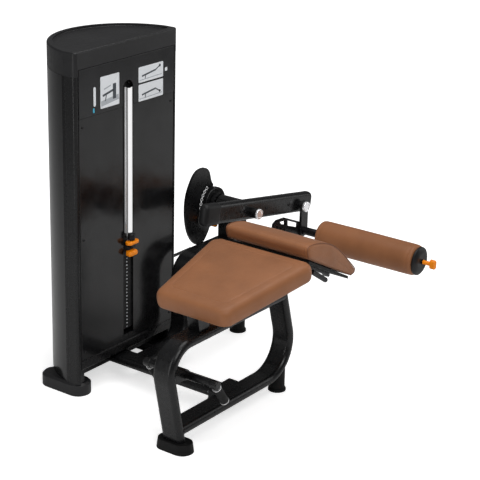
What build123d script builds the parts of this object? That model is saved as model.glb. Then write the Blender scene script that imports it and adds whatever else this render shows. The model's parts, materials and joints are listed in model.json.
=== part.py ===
from build123d import *
import math
import os

# Prone leg-curl machine with a selectorized weight tower.  Millimetres, +Z up, floor at Z = 0.
# +X runs from the user's head to the feet.  The tower stands on the +Y side with its flat
# front toward -Y; the bench is on the -Y side.

os.makedirs("parts", exist_ok=True)

# ================================================================ driving dimensions
ORIGIN_SHIFT = (-31.3, 11.5)    # puts the origin at the middle of the footprint
CLEARANCE = 0.05                # radial running clearance

# Tower
TOWER_X = -279.0                # middle of the tower
TOWER_HALF_W = 322.0
FRONT_Y = 290.0                 # front plane
SHELL_Y = 358.0                 # where the curved rear shell starts
SHELL_REAR_Y = 618.0
FOOT_H = 57.0
COLUMN_TOP = 1392.0
CAP_TOP = 1492.0
SEAM_Z = 1421.0                 # front seam under the cap
PLACARD_BOTTOM = 1217.0
RAIL_BOTTOM = 119.0
RAIL_TOP = 165.0
SLOT_W = 65.0
SLOT_BOTTOM = 193.0
SLOT_TOP = 1324.0
CROSSTUBE_Y = 370.0
CROSSTUBE_H = 55.0
SHELF_TOP = RAIL_TOP + 25
HEAD_PLATE_T = 14.0
HEAD_PLATE_Z = COLUMN_TOP - HEAD_PLATE_T

# Weight stack
ROD_DX = 62.0
ROD_Y = 356.0
ROD_R = 10.0
ROD_PLACES = [(TOWER_X - ROD_DX, ROD_Y), (TOWER_X + ROD_DX, ROD_Y)]
SELECTOR_Y = 322.0
SELECTOR_R = 11.0
PLATE_Y = 340.0
PLATE_W = 230.0
PLATE_D = 84.0
PLATE_COUNT = 21
PLATE_PITCH = 15.8
PLATE_T = 15.4
PLATE_Z = 215.0                 # bottom of the lowest plate
PLATE_HOLE_R = 5.2
TOP_PLATE_Z0 = 547.0
TOP_PLATE_Z1 = 590.0
PIN_R = 5.0
PIN_CENTRE = (TOWER_X, 571.0)
ADDON_POST = (TOWER_X, 272.0)   # (x, y) axis of the add-on lever
ADDON_POST_R = 6.5
CARRIER_H = 26.0
CLEVIS_H = 30.0

# Belt and pulleys, all in one plane; pulley centres are (x, z)
BELT_Y = 322.0
BELT_W = 22.0
BELT_T = 3.0
BELT_Z = 442.5                  # height of the horizontal run
LOW_R = 45.0
TOP_R = 36.0
PULLEY_AXLE_R = 8.0
LOW_X = -70.0
LOW_Z = BELT_Z + BELT_T / 2 + LOW_R
TOP_Z = 1322.0
INNER_X = TOWER_X + TOP_R + BELT_T / 2      # top pulley beside the stack line
OUTER_X = LOW_X - LOW_R - TOP_R - BELT_T    # top pulley above the low pulley
LOW_PULLEY = (LOW_X, LOW_Z)
OUTER_PULLEY = (OUTER_X, TOP_Z)
INNER_PULLEY = (INNER_X, TOP_Z)

# Bench and pivot frame, made of one racetrack tube section
BENCH_Y = -310.5                # middle plane of the bench
TUBE_W = 100.0
TUBE_T = 40.0
LOW_TUBE_Z = 91.5
LOOP_TOP_Z = 453.2
FRONT_FOOT_H = 42.0
BEAM_X = -316.0
BEAM_END_Y = -238.0
FLANGE_D = 42.0
BOLT_HEAD_H = 7.0
PIVOT_FRAME_Y = 202.0
PIVOT_FRAME_TOP = 479.6
PIVOT_LEG_X = 408.0
PIVOT_LEG_BOTTOM = 78.0

# Knee axis, lever arm and roller; centres are (x, z)
KNEE_X = 357.0
KNEE_Z = 622.0
KNEE = (KNEE_X, KNEE_Z)
AXLE_R = 17.5
AXLE_Y0 = 66.0
AXLE_Y1 = 334.0
HOUSING_Y0 = 152.0
HOUSING_Y1 = 276.0
BUSHING_R = 26.0
BUSHING_L = 24.0
ARM_Y0 = 99.0
ARM_Y1 = 145.0
ARM_DEG = -9.83
LINK = (741.0, 557.0)           # link pivot at the end of the arm
LINK_DROP = 120.0
ROLLER = (LINK[0], LINK[1] - LINK_DROP)
LINK_PIN_R = 9.0
LINK_PIN_Y0 = 69.5
SHAFT_R = 11.0
KNOB_STEM_R = 6.0
CORE_R = 28.0
ROLLER_Y0 = -550.0
ROLLER_Y1 = -28.0
ROLLER_R = 71.0

# Arc of start-position holes in the cam, angles in degrees about the knee axis
HOLE_ARC_R = 101.0
HOLE_COUNT = 10
HOLE_FIRST_DEG = 124.6
HOLE_STEP_DEG = 11.2
START_PIN_R = 6.0

# Pads and controls
CHEST_HEAD = (-624.0, 610.9)    # top edge of the chest pad (x, z), head end
CHEST_HIP = (-124.0, 691.0)     # the same at the hip end
CHEST_PAD_T = 66.0
CHEST_BOARD_BOTTOM = 78.0       # depth of the board's underside below the pad top
THIGH_Y0 = BENCH_Y - 211.5
THIGH_Y1 = BENCH_Y + 211.5
THIGH_HEAD = (-98, 674)         # ends of the pad's sloping underside
THIGH_TOE = (226, 507)
LATCH = (-46.0, 606.0)
HANDLE = (-664.0, 317.0)        # handlebar axis
HANDLE_Y0 = -460.0
HANDLE_Y1 = -161.0


# ================================================================ helpers
def save(name, *items):
    """Write one STEP file that holds every solid of the items."""
    solids = [s for item in items for s in (Pos(*ORIGIN_SHIFT, 0) * item).solids()]
    out = solids[0] if len(solids) == 1 else Compound(solids)
    out.label = name
    export_step(out, "parts/" + name + ".step")


def xz(y, centre=(0, 0)):
    """Upright plane at y, local axes +X and +Z; a positive extrude goes toward -Y."""
    return Plane(origin=(centre[0], y, centre[1]), x_dir=(1, 0, 0), z_dir=(0, -1, 0))


def xy(z, centre=(0, 0)):
    """Level plane at z with its origin at centre."""
    return Plane(origin=(*centre, z), x_dir=(1, 0, 0), z_dir=(0, 0, 1))


def profile_plane(centre, y=0):
    """Plane for profiles turned about a Y axis: local x is +Y, local y is the radius."""
    return Plane(origin=(centre[0], y, centre[1]), x_dir=(0, 1, 0), z_dir=(1, 0, 0))


def y_axis(centre):
    return Axis((centre[0], 0, centre[1]), (0, 1, 0))


def polar(radius, degrees):
    angle = math.radians(degrees)
    return radius * math.cos(angle), radius * math.sin(angle)


def largest(shape):
    return sorted(shape.solids(), key=lambda s: -s.volume)[0]


def cyl_y(centre, radius, y0, y1, hole=0.0):
    """Cylinder or ring along Y."""
    with BuildPart() as part:
        with BuildSketch(xz(y1, centre)):
            Circle(radius)
            if hole > 0:
                Circle(hole, mode=Mode.SUBTRACT)
        extrude(amount=y1 - y0)
    return part.part


def rounded_rod(plane, radius, length, edge=0.0):
    """Cylinder standing on a plane, both rims rounded when edge is given."""
    with BuildPart() as part:
        with BuildSketch(plane):
            Circle(radius)
        extrude(amount=length)
        if edge > 0:
            fillet(part.edges().filter_by(GeomType.CIRCLE), edge)
    return part.part


def plate_xz(y0, y1, points):
    """Flat plate between y0 and y1 with an (x, z) outline."""
    with BuildPart() as part:
        with BuildSketch(xz(y1)):
            with BuildLine():
                Polyline(*points, close=True)
            make_face()
        extrude(amount=y1 - y0)
    return part.part


def bent_tube(points, bend_r, y):
    """Racetrack tube along an (x, z) polyline with rounded corners."""
    with BuildPart() as part:
        with BuildLine(xz(y)) as path:
            FilletPolyline(*points, radius=bend_r)
        direction = path.line % 0
        start = path.line @ 0
        with BuildSketch(Plane(origin=start, x_dir=(0, 1, 0), z_dir=direction)):
            SlotOverall(TUBE_W, TUBE_T)
        sweep(path=path.line)
    return part.part


def straight_tube(start, end, y):
    run = Vector(end[0] - start[0], 0, end[1] - start[1])
    plane = Plane(origin=(start[0], y, start[1]), x_dir=(0, 1, 0), z_dir=run.normalized())
    with BuildPart() as part:
        with BuildSketch(plane):
            SlotOverall(TUBE_W, TUBE_T)
        extrude(amount=run.length)
    return part.part


# ================================================================ TOWER BODY
# side is -1 for the head side (-X) and +1 for the foot side (+X)
def tower_foot(side):
    """Stadium pad running along Y."""
    with BuildPart() as part:
        with BuildSketch(xy(0, (TOWER_X + side * 276, 403.0))):
            SlotOverall(245, 106, rotation=90)
        extrude(amount=FOOT_H)
        chamfer(part.faces().sort_by(Axis.Z)[-1].edges(), 9)
        fillet(part.faces().sort_by(Axis.Z)[0].edges(), 3)
    return part.part


save("tower_feet", tower_foot(-1), tower_foot(1))

# Section of an upright: (distance from the tower middle, y).  It is the front corner of
# the tower plus a tongue inside the shell.
COLUMN_BACK_Y = 345
COLUMN_OUTLINE = [
    (TOWER_HALF_W, COLUMN_BACK_Y), (TOWER_HALF_W, FRONT_Y), (304, FRONT_Y),
    (304, FRONT_Y + 6), (281, FRONT_Y + 6), (281, COLUMN_BACK_Y),
    (296, COLUMN_BACK_Y), (296, 380), (308, 380), (308, COLUMN_BACK_Y),
]


def column(side):
    outer_x = TOWER_X + side * TOWER_HALF_W
    with BuildPart() as part:
        with BuildSketch(xy(FOOT_H)) as section:
            with BuildLine():
                Polyline(*[(TOWER_X + side * x, y) for x, y in COLUMN_OUTLINE], close=True)
            make_face()
            fillet(section.vertices().sort_by_distance((outer_x, FRONT_Y))[0], 14)
            fillet(section.vertices().sort_by_distance((outer_x, COLUMN_BACK_Y))[0], 4)
        extrude(amount=COLUMN_TOP - FOOT_H)
        if side > 0:
            # window that lets the belt run through
            with BuildSketch(Plane.YZ.offset(TOWER_X + 270)):
                with Locations((BELT_Y, BELT_Z - 4)):
                    RectangleRounded(40, 44, 8)
            extrude(amount=80, mode=Mode.SUBTRACT)
    return part.part


save("tower_column_near", column(-1))
save("tower_column_far", column(1))

# Rear shell: thin curved wall
shell_x0 = TOWER_X - TOWER_HALF_W
shell_x1 = TOWER_X + TOWER_HALF_W
shell_end_t = 7
shell_rear_t = 5
with BuildPart() as rear_shell:
    with BuildSketch(xy(FOOT_H)):
        with BuildLine():
            ThreePointArc((shell_x0, SHELL_Y), (TOWER_X, SHELL_REAR_Y), (shell_x1, SHELL_Y))
            Line((shell_x1, SHELL_Y), (shell_x1 - shell_end_t, SHELL_Y))
            ThreePointArc((shell_x1 - shell_end_t, SHELL_Y),
                          (TOWER_X, SHELL_REAR_Y - shell_rear_t),
                          (shell_x0 + shell_end_t, SHELL_Y))
            Line((shell_x0 + shell_end_t, SHELL_Y), (shell_x0, SHELL_Y))
        make_face()
    extrude(amount=COLUMN_TOP - FOOT_H)
save("tower_rear_shell", rear_shell.part)


def d_outline(half_w, front_y, rear_y):
    """Draw the D-shaped cap outline in the current BuildLine."""
    x0 = TOWER_X - half_w
    x1 = TOWER_X + half_w
    shoulder_y = SHELL_Y - 8
    ThreePointArc((x0, shoulder_y), (TOWER_X, rear_y), (x1, shoulder_y))
    Line((x1, shoulder_y), (x1, front_y))
    Line((x1, front_y), (x0, front_y))
    Line((x0, front_y), (x0, shoulder_y))


# Cap: D-shaped cover with a raised rim around a shallow recess
with BuildPart() as cap:
    with BuildSketch(xy(COLUMN_TOP)) as cap_section:
        with BuildLine():
            d_outline(TOWER_HALF_W, FRONT_Y - 2, SHELL_REAR_Y + 1)
        make_face()
        fillet(cap_section.vertices().group_by(Axis.Y)[0], 16)
    extrude(amount=CAP_TOP - COLUMN_TOP)
    fillet(cap.faces().sort_by(Axis.Z)[-1].edges(), 7)
    with BuildSketch(xy(CAP_TOP)) as recess:
        with BuildLine():
            d_outline(TOWER_HALF_W - 26, FRONT_Y + 22, SHELL_REAR_Y - 22)
        make_face()
        fillet(recess.vertices(), 20)
    extrude(amount=-9, mode=Mode.SUBTRACT)
    flat_faces = cap.faces().filter_by(GeomType.PLANE).filter_by(Axis.Z)
    fillet(flat_faces.sort_by(Axis.Z)[-2].edges(), 3)
    # notch for the placard under the front of the cap
    with BuildSketch(xy(COLUMN_TOP - 1, (TOWER_X, FRONT_Y - 10))):
        Rectangle(2 * 304, 40)
    extrude(amount=SEAM_Z - COLUMN_TOP + 1, mode=Mode.SUBTRACT)
save("tower_cap", cap.part)

# Front panels either side of the slot, meeting below it
PANEL_BACK_Y = FRONT_Y + 4
PANEL_OUTLINE = [               # (distance from the tower middle, z)
    (300, RAIL_TOP + 1), (300, PLACARD_BOTTOM - 1), (SLOT_W / 2, PLACARD_BOTTOM - 1),
    (SLOT_W / 2, SLOT_BOTTOM), (0.6, SLOT_BOTTOM), (0.6, RAIL_TOP + 1),
]


def front_panel(side):
    outer_edge = (TOWER_X + side * 300, FRONT_Y, 700)
    with BuildPart() as part:
        with BuildSketch(xz(PANEL_BACK_Y)):
            with BuildLine():
                Polyline(*[(TOWER_X + side * x, z) for x, z in PANEL_OUTLINE], close=True)
            make_face()
        extrude(amount=PANEL_BACK_Y - FRONT_Y)
        fillet(part.edges().filter_by(Axis.Z).sort_by_distance(outer_edge)[0], 2.5)
    return part.part


save("front_panel_left", front_panel(-1))
save("front_panel_right", front_panel(1))

# Placard across the top, with the upper end of the slot cut in it
placard_top = SEAM_Z - 2
slot_end_l = 160
with BuildPart() as placard:
    with BuildSketch(xz(PANEL_BACK_Y)):
        with Locations((TOWER_X, (PLACARD_BOTTOM + placard_top) / 2)):
            RectangleRounded(600, placard_top - PLACARD_BOTTOM, 3)
        with Locations((TOWER_X, SLOT_TOP - slot_end_l / 2)):
            SlotOverall(slot_end_l, SLOT_W, rotation=90, mode=Mode.SUBTRACT)
        with Locations((TOWER_X, PLACARD_BOTTOM + 20)):
            Rectangle(SLOT_W, 60, mode=Mode.SUBTRACT)
    extrude(amount=6)
    fillet(placard.faces().filter_by(Axis.Y).sort_by(Axis.Y)[0].outer_wire().edges(), 2)
save("placard", placard.part)

# Lower front rail, relieved around the two uprights
rail_front_y = FRONT_Y - 2
rail_back_y = 330
with BuildPart() as rail:
    with BuildSketch(xy(RAIL_BOTTOM, (TOWER_X, (rail_front_y + rail_back_y) / 2))):
        Rectangle(2 * 303, rail_back_y - rail_front_y)
    extrude(amount=RAIL_TOP - RAIL_BOTTOM)
    fillet(rail.edges().filter_by(Axis.X), 7)
    for side in (-1, 1):
        with BuildSketch(xy(RAIL_BOTTOM - 1, (TOWER_X + side * 296, 320))):
            Rectangle(32, 50)
        extrude(amount=60, mode=Mode.SUBTRACT)
save("front_rail", rail.part)

# Cross tube between the feet, cut clear of the uprights' tongues
crosstube_half_l = 296
with BuildPart() as crosstube:
    with BuildSketch(Plane.YZ.offset(TOWER_X - crosstube_half_l)):
        with Locations((CROSSTUBE_Y, FOOT_H + CROSSTUBE_H / 2)):
            RectangleRounded(40, CROSSTUBE_H, 8)
    extrude(amount=2 * crosstube_half_l)
    for side in (-1, 1):
        with BuildSketch(xy(FOOT_H - 1, (TOWER_X + side * 302, 365))):
            Rectangle(14, 60)
        extrude(amount=60, mode=Mode.SUBTRACT)
save("base_crosstube", crosstube.part)

# ================================================================ WEIGHT STACK
# Shelf under the stack, with two legs down to the cross tube
leg_z = FOOT_H + CROSSTUBE_H
with BuildPart() as shelf:
    with BuildSketch(xy(RAIL_TOP, (TOWER_X, 348))):
        RectangleRounded(282, 100, 6)
    extrude(amount=SHELF_TOP - RAIL_TOP)
    with BuildSketch(xy(leg_z)):
        with Locations((TOWER_X - 110, CROSSTUBE_Y), (TOWER_X + 110, CROSSTUBE_Y)):
            Rectangle(24, 34)
    extrude(amount=RAIL_TOP - leg_z)
save("stack_shelf", shelf.part)

with BuildPart() as rods:
    with BuildSketch(xy(SHELF_TOP)):
        with Locations(*ROD_PLACES):
            Circle(ROD_R)
    extrude(amount=HEAD_PLATE_Z - SHELF_TOP)
save("guide_rods", rods.part)

# Bumper rings around the foot of the rods; the fillet takes one ring's top face
with BuildPart() as bumpers:
    with BuildSketch(xy(SHELF_TOP)):
        with Locations(*ROD_PLACES):
            Circle(21)
            Circle(ROD_R + 0.5, mode=Mode.SUBTRACT)
    extrude(amount=24.8)
    fillet(bumpers.faces().sort_by(Axis.Z)[-1].edges().sort_by(SortBy.RADIUS)[-2:], 3)
save("stack_bumpers", bumpers.part)

# Weight plates: separate solids with a hair gap between them
first_hole_z = PLATE_Z + PLATE_T / 2
with BuildPart() as weight_plate:
    with BuildSketch(xy(PLATE_Z)):
        with Locations((TOWER_X, PLATE_Y)):
            RectangleRounded(PLATE_W, PLATE_D, 5)
        with Locations(*ROD_PLACES):
            Circle(ROD_R + 1.5, mode=Mode.SUBTRACT)
        with Locations((TOWER_X, SELECTOR_Y)):
            Circle(SELECTOR_R + 1.5, mode=Mode.SUBTRACT)
    extrude(amount=PLATE_T)
    chamfer(weight_plate.faces().sort_by(Axis.Z)[-1].outer_wire().edges(), 1.0)
    with BuildSketch(xz(SELECTOR_Y, (TOWER_X, first_hole_z))):
        Circle(PLATE_HOLE_R)
    extrude(amount=40, mode=Mode.SUBTRACT)
save("weight_plates",
     *[Pos(0, 0, i * PLATE_PITCH) * weight_plate.part for i in range(PLATE_COUNT)])

with BuildPart() as top_plate:
    with BuildSketch(xy(TOP_PLATE_Z0)):
        with Locations((TOWER_X, PLATE_Y)):
            RectangleRounded(PLATE_W, PLATE_D, 8)
        with Locations(*ROD_PLACES):
            Circle(ROD_R + CLEARANCE, mode=Mode.SUBTRACT)
    extrude(amount=TOP_PLATE_Z1 - TOP_PLATE_Z0)
    fillet(top_plate.faces().sort_by(Axis.Z)[-1].outer_wire().edges(), 4)
    with BuildSketch(xz(SELECTOR_Y + 20, PIN_CENTRE)):
        Circle(PIN_R + CLEARANCE)
    extrude(amount=60, mode=Mode.SUBTRACT)
save("top_plate", top_plate.part)

# Selector rod, cross-drilled at every plate but the lowest and the highest
selector_bottom = 222
with BuildPart() as selector_rod:
    with BuildSketch(xy(selector_bottom, (TOWER_X, SELECTOR_Y))):
        Circle(SELECTOR_R)
    extrude(amount=TOP_PLATE_Z0 - selector_bottom)
    chamfer(selector_rod.faces().sort_by(Axis.Z)[0].edges(), 2)
    with BuildSketch(xz(SELECTOR_Y + 20, (TOWER_X, first_hole_z))):
        with Locations(*[(0, i * PLATE_PITCH) for i in range(1, PLATE_COUNT - 1)]):
            Circle(PLATE_HOLE_R)
    extrude(amount=40, mode=Mode.SUBTRACT)
save("selector_rod", selector_rod.part)

# Selector pin: stadium handle with a round shank toward +Y
with BuildPart() as selector_pin:
    with BuildSketch(xz(282, PIN_CENTRE)):
        SlotOverall(58, 26)
    extrude(amount=26)
    fillet(selector_pin.faces().sort_by(Axis.Y)[0].edges(), 9)
    fillet(selector_pin.faces().sort_by(Axis.Y)[-1].edges(), 6)
    with BuildSketch(xz(338, PIN_CENTRE)):
        Circle(PIN_R)
    extrude(amount=60)
save("selector_pin", selector_pin.part)

# Add-on carrier: block on the top plate, tongue toward -Y with a short post, belt clevis
with BuildPart() as addon_carrier:
    with BuildSketch(xy(TOP_PLATE_Z1, (TOWER_X, 320))):
        RectangleRounded(96, 44, 6)
    extrude(amount=CARRIER_H)
    with BuildSketch(xy(TOP_PLATE_Z1 + 8, (TOWER_X, 284))):
        Rectangle(26, 46)
    extrude(amount=14)
    with BuildSketch(xy(TOP_PLATE_Z1 + 22, ADDON_POST)):
        Circle(ADDON_POST_R)
    extrude(amount=8)
    with BuildSketch(xy(TOP_PLATE_Z1 + CARRIER_H, (TOWER_X, BELT_Y))):
        RectangleRounded(26, 30, 4)
    extrude(amount=CLEVIS_H)
    with BuildSketch(xz(BELT_Y + 40, (TOWER_X, TOP_PLATE_Z1 + 44))):
        Circle(4)
    extrude(amount=80, mode=Mode.SUBTRACT)
save("addon_carrier", addon_carrier.part)

with BuildPart() as addon_lever:
    with BuildSketch(xy(TOP_PLATE_Z1 + 22.5)):
        with Locations((TOWER_X, 268)):
            SlotOverall(70, 34)
        with Locations(ADDON_POST):
            Circle(ADDON_POST_R + CLEARANCE, mode=Mode.SUBTRACT)
    extrude(amount=15)
    fillet(addon_lever.faces().sort_by(Axis.Z)[-1].outer_wire().edges(), 5)
    fillet(addon_lever.faces().sort_by(Axis.Z)[0].outer_wire().edges(), 5)
save("addon_lever", addon_lever.part)

with BuildPart() as addon_knob:
    with BuildSketch(xy(TOP_PLATE_Z1 + 37.7, ADDON_POST)):
        Circle(10)
    extrude(amount=5)
    with BuildSketch(xy(TOP_PLATE_Z1 + 42, ADDON_POST)):
        Circle(16)
    extrude(amount=27)
    fillet(addon_knob.faces().sort_by(Axis.Z)[-1].edges(), 8)
save("addon_knob", addon_knob.part)


# ================================================================ PULLEYS AND BELT
def pulley(centre, radius):
    """Flanged wheel with six round holes."""
    half_profile = [            # (y from the belt plane, radius), -Y half
        (-13.5, PULLEY_AXLE_R + CLEARANCE), (-13.5, 15), (-11.5, 17),
        (-11.5, radius + 5), (-11.2, radius + 6), (-11.2, radius),
    ]
    other_half = [(-y, r) for y, r in reversed(half_profile)]
    with BuildPart() as part:
        with BuildSketch(profile_plane(centre, BELT_Y)):
            with BuildLine():
                Polyline(*half_profile, *other_half, close=True)
            make_face()
        revolve(axis=y_axis(centre))
        with BuildSketch(xz(BELT_Y + 20, centre)):
            with PolarLocations(0.62 * radius, 6, rotate=False):
                Circle(0.15 * radius)
        extrude(amount=40, mode=Mode.SUBTRACT)
    return part.part


save("pulley_low", pulley(LOW_PULLEY, LOW_R))
save("pulley_top_outer", pulley(OUTER_PULLEY, TOP_R))
save("pulley_top_inner", pulley(INNER_PULLEY, TOP_R))
save("pulley_axles", *[cyl_y(centre, PULLEY_AXLE_R, 296, 348)
                       for centre in (LOW_PULLEY, OUTER_PULLEY, INNER_PULLEY)])

# Top bracket: plate between the uprights with two cheeks for the top pulleys
cheek_t = 5
with BuildPart() as top_bracket:
    with BuildSketch(xy(HEAD_PLATE_Z, (TOWER_X, 345))):
        Rectangle(556, 94)
    extrude(amount=HEAD_PLATE_T)
    for y in (304, 341):
        with BuildSketch(xz(y)):
            with BuildLine():
                Polyline((INNER_X - 30, HEAD_PLATE_Z), (INNER_X - 22, TOP_Z - 16),
                         (INNER_X + 14, TOP_Z - 22), (OUTER_X - 14, TOP_Z - 22),
                         (OUTER_X + 22, TOP_Z - 16), (OUTER_X + 30, HEAD_PLATE_Z), close=True)
            make_face()
            with Locations(INNER_PULLEY, OUTER_PULLEY):
                Circle(PULLEY_AXLE_R, mode=Mode.SUBTRACT)
        extrude(amount=cheek_t)

# Low bracket: two cheeks on the inside of the foot-side upright, joined by a bridge
upright_x = TOWER_X + 281
bridge_x = LOW_X + 10
with BuildPart() as low_bracket:
    for y in (304, 345):
        with BuildSketch(xz(y)):
            with BuildLine():
                Polyline((upright_x, LOW_Z + 70), (upright_x, LOW_Z - 18),
                         (LOW_X + 20, LOW_Z - 24), (LOW_X - 18, LOW_Z - 20),
                         (LOW_X - 22, LOW_Z + 10), (bridge_x, LOW_Z + 70), close=True)
            make_face()
            with Locations(LOW_PULLEY):
                Circle(PULLEY_AXLE_R, mode=Mode.SUBTRACT)
        extrude(amount=cheek_t)
    with BuildSketch(xy(LOW_Z + 64, ((upright_x + bridge_x) / 2, BELT_Y))):
        Rectangle(upright_x - bridge_x, 36)
    extrude(amount=6)
save("pulley_brackets", top_bracket.part, low_bracket.part)

# Main belt: from the cam under the low pulley, up, and over both top pulleys
BELT_GAP = 0.05                 # between the belt and the wheels
BELT_SIDE_Y = BELT_Y + BELT_W / 2


def belt_wrap(centre, radius, side_x, side_z):
    """Quarter ring of belt around a pulley, in the quadrant (side_x, side_z)."""
    cx, cz = centre
    reach = radius + 10
    with BuildSketch(xz(BELT_SIDE_Y)) as ring:
        with Locations(centre):
            Circle(radius + BELT_T)
            Circle(radius + BELT_GAP, mode=Mode.SUBTRACT)
        with Locations((cx + side_x * reach / 2, cz + side_z * reach / 2)):
            Rectangle(reach, reach, mode=Mode.INTERSECT)
    return ring.sketch


cam_x = KNEE_X - 154            # where the belt leaves the cam
run_t = BELT_T - BELT_GAP
low_run_z = LOW_Z - LOW_R - (BELT_T + BELT_GAP) / 2
top_run_z = TOP_Z + TOP_R + (BELT_T + BELT_GAP) / 2
rise_x = LOW_X - LOW_R - (BELT_T + BELT_GAP) / 2
with BuildPart() as belt_main:
    with BuildSketch(xz(BELT_SIDE_Y)):
        with Locations(((cam_x + LOW_X) / 2, low_run_z)):
            Rectangle(cam_x - LOW_X, run_t)
        with Locations((rise_x, (LOW_Z + TOP_Z) / 2)):
            Rectangle(run_t, TOP_Z - LOW_Z)
        with Locations(((INNER_X + OUTER_X) / 2, top_run_z)):
            Rectangle(OUTER_X - INNER_X, run_t)
        add(belt_wrap(LOW_PULLEY, LOW_R, -1, -1))
        add(belt_wrap(OUTER_PULLEY, TOP_R, 1, 1))
        add(belt_wrap(INNER_PULLEY, TOP_R, -1, 1))
    extrude(amount=BELT_W)
save("belt_main", belt_main.part)

# Belt drop from the inner top pulley to the clevis
drop_z0 = TOP_PLATE_Z1 + CARRIER_H + CLEVIS_H + 0.2
with BuildPart() as belt_drop:
    with BuildSketch(xy(drop_z0, (TOWER_X, BELT_Y))):
        Rectangle(2.8, BELT_W)
    extrude(amount=TOP_Z - 0.2 - drop_z0)
save("belt_drop", belt_drop.part)

# ================================================================ BENCH FRAME
# Tube paths are (x, z).  The rear tube is whole; the front tube is coped where they meet.
front_tube = bent_tube([(-703.0, FRONT_FOOT_H), (-795.0, LOOP_TOP_Z), (-25.0, LOOP_TOP_Z)],
                       114.4, BENCH_Y)
rear_leg = bent_tube([(-48.6, 560.0), (84.5, LOW_TUBE_Z), (-704.0, LOW_TUBE_Z)],
                     149.6, BENCH_Y)
rear_cope = straight_tube((-65.0, 617.7), (16.25, 331.75), BENCH_Y)
low_cope = straight_tube((-704.0, LOW_TUBE_Z), (-560.0, LOW_TUBE_Z), BENCH_Y)
with BuildPart() as coped_front:
    add(front_tube)
    add(rear_cope, mode=Mode.SUBTRACT)
    add(low_cope, mode=Mode.SUBTRACT)
front_leg = largest(coped_front.part)
save("bench_loop_tube", front_leg, rear_leg)

# Front foot: tapered stadium pad, cut to fit the leg
front_foot_centre = (-697, BENCH_Y)
with BuildPart() as front_foot:
    with BuildSketch(xy(0, front_foot_centre)):
        SlotOverall(166, 94, rotation=90)
    with BuildSketch(xy(FRONT_FOOT_H, front_foot_centre)):
        SlotOverall(156, 82, rotation=90)
    loft()
    fillet(front_foot.faces().sort_by(Axis.Z)[-1].edges(), 4)
    add(front_leg, mode=Mode.SUBTRACT)
save("bench_foot_front", front_foot.part)


def post_foot(centre, top, cut=None):
    """Round post on a wider base disc; only the part below the cut shape is kept."""
    base_h = 11
    with BuildPart() as part:
        with BuildSketch(xy(0, centre)):
            Circle(39)
        extrude(amount=base_h)
        fillet(part.faces().sort_by(Axis.Z)[-1].edges(), 4)
        with BuildSketch(xy(base_h, centre)):
            Circle(33)
        extrude(amount=top - base_h)
        if cut is not None:
            add(cut, mode=Mode.SUBTRACT)
    return sorted(part.part.solids(), key=lambda s: s.bounding_box().min.Z)[0]


save("post_feet", post_foot((3.0, BENCH_Y), 150, rear_leg),
     post_foot((PIVOT_LEG_X, PIVOT_FRAME_Y), PIVOT_LEG_BOTTOM))

# Base beam lying flat from the tower to the bench, and the flange at its bench end
beam_centre = (BEAM_X, LOW_TUBE_Z)
beam_tower_y = 350
with BuildPart() as base_beam:
    with BuildSketch(xz(beam_tower_y, beam_centre)):
        SlotOverall(TUBE_W, TUBE_T)
    extrude(amount=beam_tower_y - BEAM_END_Y)
with BuildPart() as flange:
    with BuildSketch(xz(BEAM_END_Y, beam_centre)):
        RectangleRounded(150, 62, 8)
    extrude(amount=FLANGE_D)
    add(rear_leg, mode=Mode.SUBTRACT)
save("base_beam", base_beam.part, largest(flange.part))


def flange_bolt(centre):
    """Hexagon head with a short round end, pointing toward +Y."""
    with BuildPart() as part:
        with BuildSketch(xz(BEAM_END_Y, centre)):
            RegularPolygon(9, 6)
        extrude(amount=-BOLT_HEAD_H)
        with BuildSketch(xz(BEAM_END_Y + BOLT_HEAD_H, centre)):
            Circle(5)
        extrude(amount=-3)
    return part.part


save("flange_bolts", *[flange_bolt((BEAM_X + dx, LOW_TUBE_Z + dz))
                       for dx in (-62, 62) for dz in (-16, 16)])

# ================================================================ PIVOT FRAME
pivot_path = [
    (-280.0, LOW_TUBE_Z), (-25.0, LOW_TUBE_Z), (-25.0, PIVOT_FRAME_TOP),
    (PIVOT_LEG_X, PIVOT_FRAME_TOP), (PIVOT_LEG_X, PIVOT_LEG_BOTTOM),
]
pivot_raw = bent_tube(pivot_path, 96.8, PIVOT_FRAME_Y)
with BuildPart() as pivot_frame:
    add(pivot_raw)
    add(base_beam.part, mode=Mode.SUBTRACT)
pivot_tube = largest(pivot_frame.part)
save("pivot_frame_tube", pivot_tube)

# Bearing housing on a pedestal that stands on the frame tube
pedestal_half_t = 33
pedestal_z = PIVOT_FRAME_TOP + TUBE_T / 2
with BuildPart() as pedestal:
    with BuildSketch(xz(PIVOT_FRAME_Y + pedestal_half_t)):
        with BuildLine():
            Polyline((KNEE_X - 74, pedestal_z), (KNEE_X - 74, 560), (KNEE_X - 42, 612),
                     (KNEE_X + 42, 612), (KNEE_X + 52, 560), (KNEE_X + 52, pedestal_z),
                     close=True)
        make_face()
    extrude(amount=2 * pedestal_half_t)
    add(pivot_tube, mode=Mode.SUBTRACT)
    with BuildSketch(xz(HOUSING_Y1, KNEE)):
        Circle(46)
    extrude(amount=HOUSING_Y1 - HOUSING_Y0)
    with BuildSketch(xz(300, KNEE)):
        Circle(BUSHING_R)
    extrude(amount=200, mode=Mode.SUBTRACT)
save("bearing_housing", largest(pedestal.part))
save("pivot_bushings", *[cyl_y(KNEE, BUSHING_R, y, y + BUSHING_L, AXLE_R + CLEARANCE)
                         for y in (HOUSING_Y0, HOUSING_Y1 - BUSHING_L)])

# ================================================================ LEVER
# Axle with a wider disc at its +Y end
with BuildPart() as axle:
    with BuildSketch(xz(AXLE_Y1, KNEE)):
        Circle(AXLE_R)
    extrude(amount=AXLE_Y1 - AXLE_Y0)
    with BuildSketch(xz(AXLE_Y1 + 10, KNEE)):
        Circle(29)
    extrude(amount=14)
    fillet(axle.faces().sort_by(Axis.Y)[-1].edges(), 3)
save("knee_axle", axle.part)

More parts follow.
